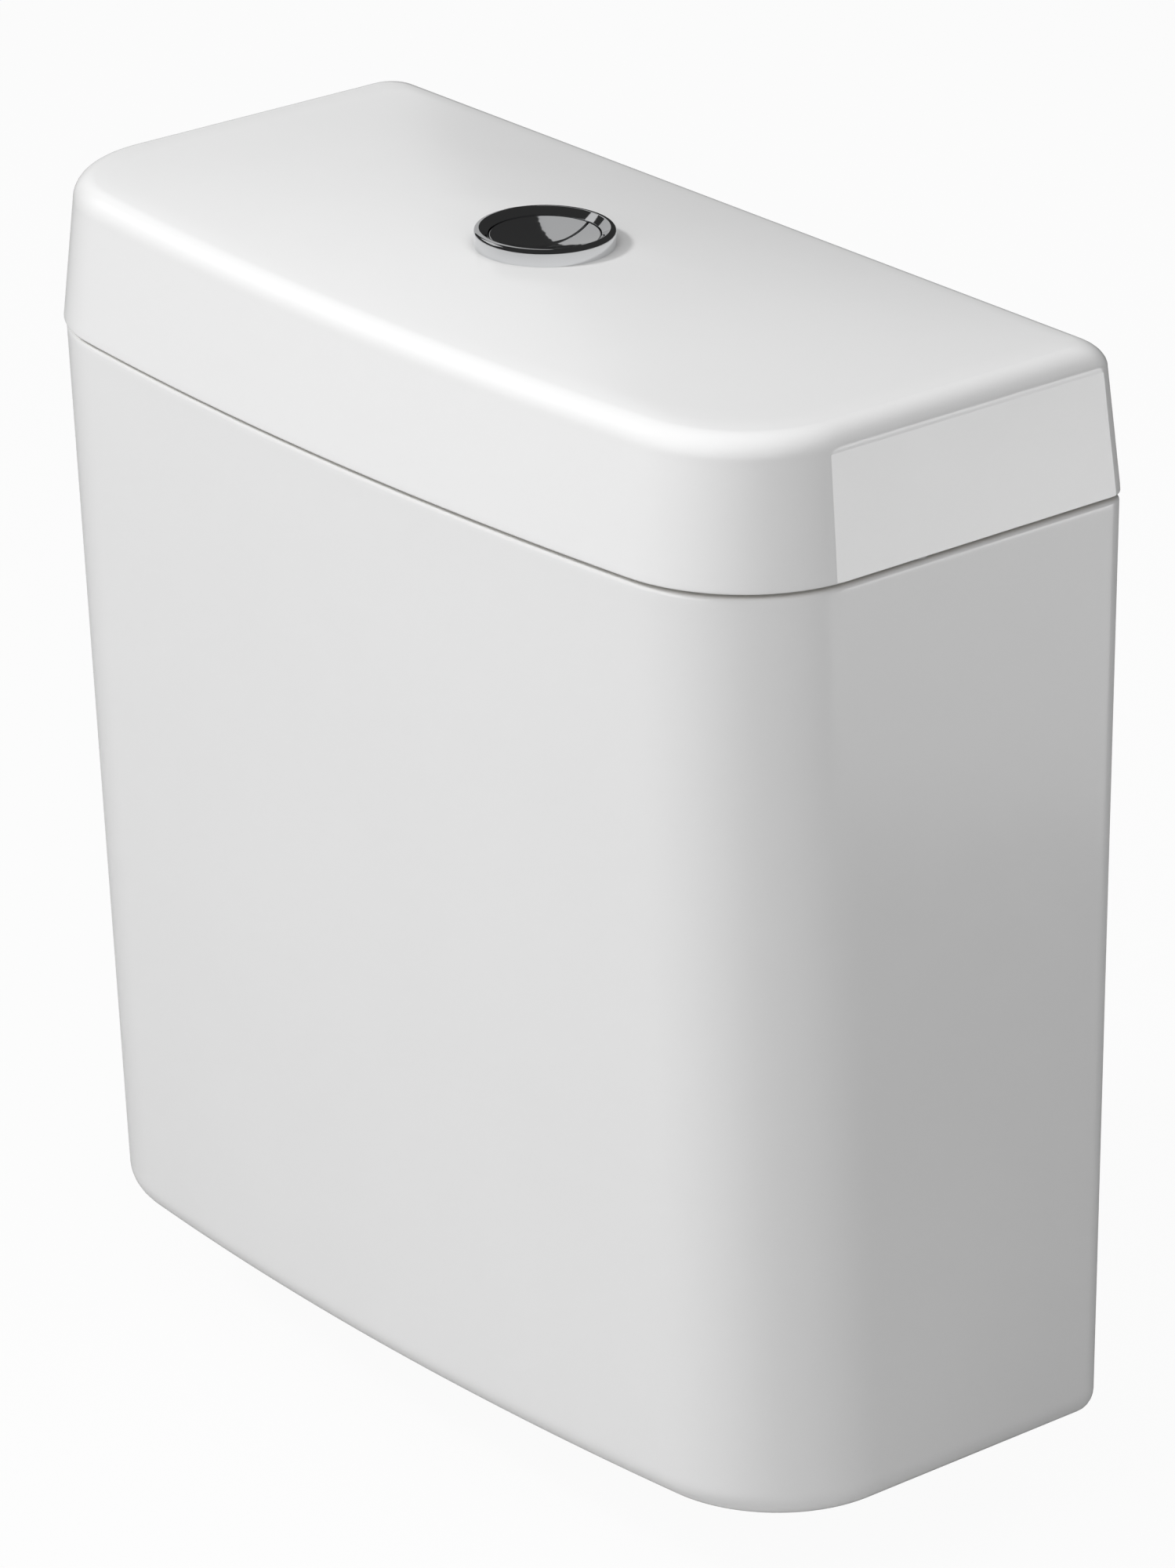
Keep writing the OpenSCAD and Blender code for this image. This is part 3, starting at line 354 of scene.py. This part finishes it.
# level of the lid's top, crowned both ways and level where the button sits
def domeLevel(x, y):
    reach = (ceramic["back"] if y > 0 else ceramic["front"]) - lid["topInset"]
    width = ceramic["halfWidth"] - lid["topInset"]
    crown = (1 - (x / width) ** 2) * (1 - (y / reach) ** 2)
    seatCrown = 1 - (lid["seat"] / (ceramic["back"] - lid["topInset"])) ** 2
    fall = max(0.0, 1 - crown / seatCrown)
    return lid["base"] + lid["height"] - (lid["dome"] - lid["edgeRise"]) * fall


# ring of the lid, drawn in towards the hole by a share of the way; without a level it lies on the dome
def lidRing(bm, inset, level, rear, flat, reach):
    ring = outlineRing(bm, inset, 0.0, ceramic["front"], rear, flat)
    for vert in ring:
        place = vert.co.xy.normalized() * (lid["hole"] + (vert.co.xy.length - lid["hole"]) * reach)
        vert.co = (*place, domeLevel(*place) if level is None else lid["base"] + level)
    return ring


def buildLid():
    bm = bmesh.new()
    ceiling = lid["height"] - lid["crown"]
    rear = ceramic["cavityRear"]
    rows = []
    for a in reversed(quarter(lid["cavitySteps"])):
        z = ceiling - lid["cavity"] * (1 - math.sin(a))
        inset = ceramic["wall"] + lid["slope"] * z + lid["cavity"] * (1 - math.cos(a))
        rows.append((inset, z, rear, 0.0, 1.0))
    hole = (rows[0][0], ceiling, rear, 0.0, 0.0)
    rows.append((ceramic["wall"], lid["rimRoot"], rear, 0.0, 1.0))
    rows.append((lid["rim"] + lid["rimWall"], lid["rimRoot"], rear, 0.0, 1.0))
    rows.append((lid["rim"] + lid["rimWall"], -lid["rimDrop"], rear, 0.0, 1.0))
    rows.append((lid["rim"], -lid["rimDrop"], rear, 0.0, 1.0))
    rows.append((lid["rim"], 0.0, rear, 0.0, 1.0))
    rear = lid["rear"]
    for a in quarter(lid["edgeSteps"]):
        z = lid["edge"] * (1 - math.cos(a))
        cut = lid["edge"] * (1 - math.sin(a))
        rows.append((lid["slope"] * z - lid["overhang"] + cut, z, rear, max(0.0, lid["flat"] - cut), 1.0))
    for z in (lid["edge"] + ceramic["hold"], lid["shoulder"] - ceramic["hold"]):
        rows.append((lid["slope"] * z - lid["overhang"], z, rear, lid["flat"], 1.0))
    for a in quarter(lid["roundSteps"]):
        cut = lid["round"] * (1 - math.cos(a))
        z = lid["shoulder"] + lid["round"] * math.sin(a) + lid["edgeRise"] * (1 - math.cos(a))
        rows.append((lid["shoulderInset"] + cut, z, rear, max(0.0, lid["flat"] - cut), 1.0))
    for i in range(1, lid["domeSteps"] + 1):
        rows.append((lid["topInset"], None, rear, 0.0, 1 - i / lid["domeSteps"]))
    stackRings(bm, lidRing, [hole] + rows + [hole])
    weld(bm)
    softShade(bm, ceramic["sharp"])
    # the ground flats at both ends keep a crisp edge
    lowTilt, highTilt = lid["flatTilt"]
    facet = {f for f in bm.faces if abs(f.normal.y) < lid["flatAcross"] and abs(f.normal.x) > lid["flatAlong"]
             and lowTilt < f.normal.z < highTilt}
    for edge in bm.edges:
        if len([f for f in edge.link_faces if f in facet]) == 1:
            edge.smooth = False
    for face in bm.faces:
        if face.normal.z < ceramic["down"] and face.calc_center_median().z < lid["base"] + lid["edge"]:
            face.material_index = 1
    return makePiece("ceramic_lid", bm, [glazedChina, bareClay], "lid", ["lid"])


ceramicTank = buildTank()
ceramicLid = buildLid()
print("ceramic done, faces:", len(ceramicTank.data.polygons), len(ceramicLid.data.polygons))

button = {
    "top": 408 * mm, "lidTop": 402 * mm, "outer": 24.5 * mm, "edge": 1.5 * mm, "rim": 22.3 * mm,
    "bore": 19.5 * mm,
    "dishEdge": 405.8 * mm, "sleeve": 21.5 * mm, "sleeveEnd": 376 * mm, "guideTop": 388 * mm,
    "guideUnder": 385 * mm, "plungerHole": 4.05 * mm, "rodX": 10 * mm, "rodY": -9 * mm, "steps": 128,
    "rimRound": 0.6 * mm, "edgeSteps": 8, "rimSteps": 6, "holeSteps": 48, "sharp": math.radians(32)}


def buildButtonRim():
    bm = bmesh.new()
    across = (0, 1, 0)
    edge = button["edge"]
    vert = bm.verts.new((button["bore"], 0, button["guideUnder"]))
    for r, z in ((button["bore"], button["sleeveEnd"]), (button["sleeve"], button["sleeveEnd"]),
                 (button["sleeve"], button["lidTop"]), (button["outer"], button["lidTop"]),
                 (button["outer"], button["top"] - edge)):
        vert = lineTo(bm, vert, (r, 0, z))
    vert = arcRound(bm, vert, (button["outer"] - edge, 0, button["top"] - edge), across, -math.pi / 2,
                    button["edgeSteps"])
    slope = math.atan2(button["top"] - button["dishEdge"], button["rim"] - button["bore"])
    inner = button["rimRound"]
    vert = lineTo(bm, vert, (button["rim"] + inner * math.tan(slope / 2), 0, button["top"]))
    vert = arcRound(bm, vert, vert.co - Vector((0, 0, inner)), across, -slope, button["rimSteps"])
    vert = lineTo(bm, vert, (button["bore"], 0, button["dishEdge"]))
    lineTo(bm, vert, (button["bore"], 0, button["guideTop"]))
    bmesh.ops.spin(bm, geom=bm.verts[:] + bm.edges[:], cent=(0, 0, 0), axis=(0, 0, 1), angle=2 * math.pi,
                   steps=button["steps"], use_merge=True)
    bmesh.ops.remove_doubles(bm, verts=bm.verts, dist=mergeDistance)
    ends = [e for e in bm.edges if len(e.link_faces) == 1]
    lowLoop = [e for e in ends if e.verts[0].co.z < (button["guideUnder"] + button["guideTop"]) / 2]
    highLoop = [e for e in ends if e not in lowLoop]
    holes = [(side * button["rodX"], button["rodY"], button["plungerHole"]) for side in (-1, 1)]
    holedPlate(bm, lowLoop, highLoop, holes, button["guideUnder"], button["guideTop"], button["holeSteps"])
    weld(bm)
    softShade(bm, button["sharp"])
    return makePiece("button_rim", bm, [chromePlate], "lid", ["button_bezel"])


cap = {
    "radius": 19.2 * mm, "edge": 405.6 * mm, "under": 400 * mm, "dish": 75 * mm, "partingX": -40.5 * mm,
    "parting": 45 * mm, "gap": 0.3 * mm, "lip": 0.4 * mm, "lipSteps": 4, "outerSteps": 56, "partingSteps": 32,
    "rings": 8, "fullCore": 9.2 * mm, "halfCore": 5.6 * mm, "plunger": 4 * mm, "plungerEnd": 364 * mm,
    "rodBore": 3.05 * mm, "rodTop": 379 * mm, "stemSteps": 48}


def dishLevel(radius):
    centre = cap["edge"] + math.sqrt(cap["dish"] ** 2 - cap["radius"] ** 2)
    return centre - math.sqrt(cap["dish"] ** 2 - radius ** 2)


# outline of one cap, drawn in by an inset: an arc of the disc and an arc of the parting line
def capRing(bm, side, inset, drop, level=None):
    old = set(bm.verts)
    up = (0, 0, 1)
    disc = cap["radius"] - inset
    parting = cap["parting"] + side * (cap["gap"] + inset)
    x = (parting ** 2 - disc ** 2 - cap["partingX"] ** 2) / (-2 * cap["partingX"])
    y = math.sqrt(disc ** 2 - x ** 2)
    turn = math.atan2(y, x)
    turnParting = math.atan2(y, x - cap["partingX"])
    vert = bm.verts.new((x, y, 0))
    sweep = 2 * math.pi - 2 * turn if side < 0 else -2 * turn
    vert = arcRound(bm, vert, (0, 0, 0), up, sweep, cap["outerSteps"])
    arcRound(bm, vert, (cap["partingX"], 0, 0), up, 2 * turnParting, cap["partingSteps"])
    bmesh.ops.remove_doubles(bm, verts=[v for v in bm.verts if v not in old], dist=mergeDistance)
    made = [v for v in bm.verts if v not in old]
    for vert in made:
        vert.co.z = level if level else dishLevel(vert.co.xy.length) - drop
    return made


def buildCap(name, side, core, body, node):
    bm = bmesh.new()
    lip = cap["lip"]
    rows = [(side, 0.0, 0.0, cap["under"])]
    rows += [(side, lip * (1 - math.cos(a)), lip * (1 - math.sin(a))) for a in quarter(cap["lipSteps"])]
    rows += [(side, lip + (core - lip) * i / cap["rings"], 0.0) for i in range(1, cap["rings"] + 1)]
    for loop in stackRings(bm, capRing, rows):
        bmesh.ops.triangle_fill(bm, use_beauty=True, edges=loop)
    old = set(bm.verts)
    vert = bm.verts.new((0, 0, cap["rodTop"]))
    for r, z in ((cap["rodBore"], cap["rodTop"]), (cap["rodBore"], cap["plungerEnd"]),
                 (cap["plunger"], cap["plungerEnd"]), (cap["plunger"], cap["under"] + lip),
                 (0, cap["under"] + lip)):
        vert = lineTo(bm, vert, (r, 0, z))
    stem = [v for v in bm.verts if v not in old]
    bmesh.ops.spin(bm, geom=stem + edgesAmong(stem), cent=(0, 0, 0), axis=(0, 0, 1), angle=2 * math.pi,
                   steps=cap["stemSteps"], use_merge=True)
    stem = [v for v in bm.verts if v not in old]
    bmesh.ops.translate(bm, verts=stem, vec=(side * button["rodX"], button["rodY"], 0))
    weld(bm)
    softShade(bm, button["sharp"])
    return makePiece(name, bm, [chromePlate], body, [node])


# wire wound round an upright axis, closed at both ends
def windWire(bm, middle, radius, wire, sides, turns, stepsPerTurn, pitch):
    start = Matrix.Translation(Vector(middle) + Vector((radius, 0, 0))) @ Matrix.Rotation(math.pi / 2, 4, "X")
    ring = bmesh.ops.create_circle(bm, cap_ends=True, segments=sides, radius=wire, matrix=start)["verts"]
    bmesh.ops.spin(bm, geom=ring[0].link_faces[:] + edgesAmong(ring), cent=middle, axis=(0, 0, 1),
                   dvec=(0, 0, pitch / stepsPerTurn), angle=2 * math.pi * turns,
                   steps=round(turns * stepsPerTurn))


coil = {"radius": 5.2 * mm, "wire": 0.45 * mm, "turns": 5, "from": 388 * mm, "to": 400 * mm, "sides": 10,
        "stepsPerTurn": 28, "pressedShare": 5 / 12, "sharp": math.radians(50)}


def buildCoil(name, side, node):
    bm = bmesh.new()
    pitch = (coil["to"] - coil["from"] - 2 * coil["wire"]) / coil["turns"]
    foot = (side * button["rodX"], button["rodY"], coil["from"] + coil["wire"])
    windWire(bm, foot, coil["radius"], coil["wire"], coil["sides"], coil["turns"], coil["stepsPerTurn"], pitch)
    weld(bm)
    softShade(bm, coil["sharp"])
    piece = makePiece(name, bm, [drawnSteel], "lid", [node])
    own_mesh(piece)
    return piece


buttonRim = buildButtonRim()
fullCap = buildCap("full_flush_cap", -1, cap["fullCore"], "full_flush_button", "full_flush_button")
halfCap = buildCap("half_flush_cap", 1, cap["halfCore"], "half_flush_button", "half_flush_button")
buildCoil("full_return_coil", -1, "full_button_spring")
buildCoil("half_return_coil", 1, "half_button_spring")
print("flush button done, faces:", len(buttonRim.data.polygons), len(fullCap.data.polygons))

# crests of the screw threads that stay free under the tank, half sunk in their plain stems
threads = {
    "outlet_tail_thread": {"at": [(0, 0)], "stem": 29.8 * mm, "crest": 0.9 * mm, "from": -29 * mm,
                           "pitch": 3 * mm, "turns": 3, "finish": whiteAcetal, "slot": "white_plastic"},
    "inlet_thread": {"at": [(-135 * mm, 0)], "stem": 10.48 * mm, "crest": 0.55 * mm, "from": -33 * mm,
                     "pitch": 1.8 * mm, "turns": 12, "finish": whiteAcetal, "slot": "white_plastic"},
    "pan_bolt_threads": {"at": [(-75 * mm, 0), (75 * mm, 0)], "stem": 4 * mm, "crest": 0.4 * mm,
                         "from": -39 * mm, "pitch": 1.25 * mm, "turns": 23,
                         "finish": turnedBrass, "slot": "brass"}}
crest = {"sides": 4, "stepsPerTurn": 40, "sharp": math.radians(30)}
for threadName, thread in threads.items():
    threadMesh = bmesh.new()
    for x, y in thread["at"]:
        windWire(threadMesh, (x, y, thread["from"]), thread["stem"], thread["crest"], crest["sides"],
                 thread["turns"], crest["stepsPerTurn"], thread["pitch"])
    weld(threadMesh)
    softShade(threadMesh, crest["sharp"])
    makePiece(threadName, threadMesh, [thread["finish"]], "cistern", [])
print("threads done:", len(threads))

view = {"azimuth": 50.007, "elevation": 23.159, "distance": 2.7935, "target": (0, 0.012, 0.195),
        "sensor": 36, "imageHeight": 2000, "focalPixels": 10117, "shiftPixels": (19.83, 11.21)}


def buildCamera():
    a, e = math.radians(view["azimuth"]), math.radians(view["elevation"])
    back = Vector((math.sin(a) * math.cos(e), -math.cos(a) * math.cos(e), math.sin(e)))
    right = Vector((math.cos(a), math.sin(a), 0))
    up = back.cross(right)
    data = bpy.data.cameras.new("camera")
    data.lens = view["focalPixels"] * view["sensor"] / view["imageHeight"]
    data.sensor_width = view["sensor"]
    data.shift_x = view["shiftPixels"][0] / view["imageHeight"]
    data.shift_y = view["shiftPixels"][1] / view["imageHeight"]
    camera = bpy.data.objects.new("camera", data)
    turn = Matrix((right, up, back)).transposed().to_4x4()
    camera.matrix_world = Matrix.Translation(Vector(view["target"]) + back * view["distance"]) @ turn
    scene.collection.objects.link(camera)
    scene.camera = camera


studio = {
    "ambient": 0.03, "floorSize": 14.0, "floorCells": 8, "floorRough": 0.9,
    "floorColour": "D2D2D2", "floorWhite": 0.95,
    # place, aim, width, height and power of each lamp
    "lamps": {
        "key_box": ((-1.2, -1.9, 2.5), (0, 0, 0.3), 0.5, 0.5, 44),
        "top_box": ((0.6, -0.2, 2.8), (0, 0, 0.3), 3.0, 3.0, 40),
        "front_box": ((0.5, -2.5, 1.9), (0, 0, 0.3), 2.6, 2.6, 32),
        "right_box": ((3.0, -0.8, 1.3), (0, 0, 0.2), 1.6, 1.6, 8)},
    "unmirrored": ("key_box", "top_box", "front_box", "right_box"),
    # cards that only mirrors see: place, facing, width, height and brightness
    "cards": {
        "button_card": ((-1.39, 0.56, 0.95), (0, 0, 0.4), 0.9, 1.9, 0.44),
        "edge_card": ((-2.25, -1.2, 2.2), (0, 0, 0.4), 2.0, 1.4, 0.6),
        "facet_card": ((0.92, 0.72, 0.13), (0.195, 0.06, 0.37), 0.42, 0.24, 4.6),
        "side_card": ((0.70, 0.46, 0.03), (0.194, 0.0, 0.28), 0.50, 0.13, 1.7)}}


def seenMask(tree):
    path = addNode(tree, "ShaderNodeLightPath")
    seen = addNode(tree, "ShaderNodeMath", {"operation": "MAXIMUM"})
    tree.links.new(path.outputs["Is Camera Ray"], seen.inputs[0])
    tree.links.new(path.outputs["Is Transmission Ray"], seen.inputs[1])
    return seen


def facing(place, aim):
    turn = (Vector(aim) - Vector(place)).to_track_quat("-Z", "Y")
    return Matrix.Translation(place) @ turn.to_matrix().to_4x4()


def buildStudio():
    world = bpy.data.worlds.new("studio")
    world.use_nodes = True
    scene.world = world
    tree = world.node_tree
    tree.nodes.clear()
    ambient = addNode(tree, "ShaderNodeBackground", None,
                      {"Color": linear("FFFFFF"), "Strength": studio["ambient"]})
    white = addNode(tree, "ShaderNodeBackground", None, {"Color": linear("FFFFFF"), "Strength": 1.0})
    mix = addNode(tree, "ShaderNodeMixShader", None, None, {"Fac": seenMask(tree).outputs[0]})
    tree.links.new(ambient.outputs[0], mix.inputs[1])
    tree.links.new(white.outputs[0], mix.inputs[2])
    addNode(tree, "ShaderNodeOutputWorld", None, None, {"Surface": mix.outputs[0]})

    bm = bmesh.new()
    bmesh.ops.create_grid(bm, x_segments=studio["floorCells"], y_segments=studio["floorCells"],
                          size=studio["floorSize"] / 2, matrix=Matrix.Translation((0, 0, cadBox[0].z)))
    mesh = bpy.data.meshes.new("floor")
    bm.to_mesh(mesh)
    bm.free()
    floor = bpy.data.objects.new("floor", mesh)
    scene.collection.objects.link(floor)
    paper, tree, shader = newMaterial("studio_paper", {
        "Roughness": studio["floorRough"], "Base Color": linear(studio["floorColour"])})
    share = addNode(tree, "ShaderNodeMath", {"operation": "MULTIPLY"}, {1: studio["floorWhite"]})
    tree.links.new(seenMask(tree).outputs[0], share.inputs[0])
    glow = addNode(tree, "ShaderNodeEmission", None, {"Color": linear("FFFFFF"), "Strength": 1.0})
    mix = addNode(tree, "ShaderNodeMixShader", None, None, {"Fac": share.outputs[0]})
    tree.links.new(shader.outputs[0], mix.inputs[1])
    tree.links.new(glow.outputs[0], mix.inputs[2])
    tree.links.new(mix.outputs[0], tree.nodes["Material Output"].inputs["Surface"])
    mesh.materials.append(paper)

    for name, (place, aim, width, height, power) in studio["lamps"].items():
        data = bpy.data.lights.new(name, "AREA")
        data.shape = "RECTANGLE"
        data.size = width
        data.size_y = height
        data.energy = power
        lamp = bpy.data.objects.new(name, data)
        lamp.matrix_world = facing(place, aim)
        lamp.visible_camera = False
        lamp.visible_glossy = name not in studio["unmirrored"]
        scene.collection.objects.link(lamp)

    for name, (place, aim, width, height, glow) in studio["cards"].items():
        bm = bmesh.new()
        bmesh.ops.create_grid(bm, x_segments=1, y_segments=1, size=0.5,
                              matrix=Matrix.Diagonal((width, height, 1, 1)))
        mesh = bpy.data.meshes.new(name)
        bm.to_mesh(mesh)
        bm.free()
        card = bpy.data.objects.new(name, mesh)
        card.matrix_world = facing(place, aim)
        scene.collection.objects.link(card)
        for ray in ("camera", "diffuse", "shadow", "transmission"):
            setattr(card, "visible_" + ray, False)
        board, tree, _ = newMaterial(name + "_board", {})
        light = addNode(tree, "ShaderNodeEmission", None, {"Color": linear("FFFFFF"), "Strength": glow})
        tree.links.new(light.outputs[0], tree.nodes["Material Output"].inputs["Surface"])
        mesh.materials.append(board)


buildCamera()
buildStudio()
print("studio done, lamps:", len(studio["lamps"]))
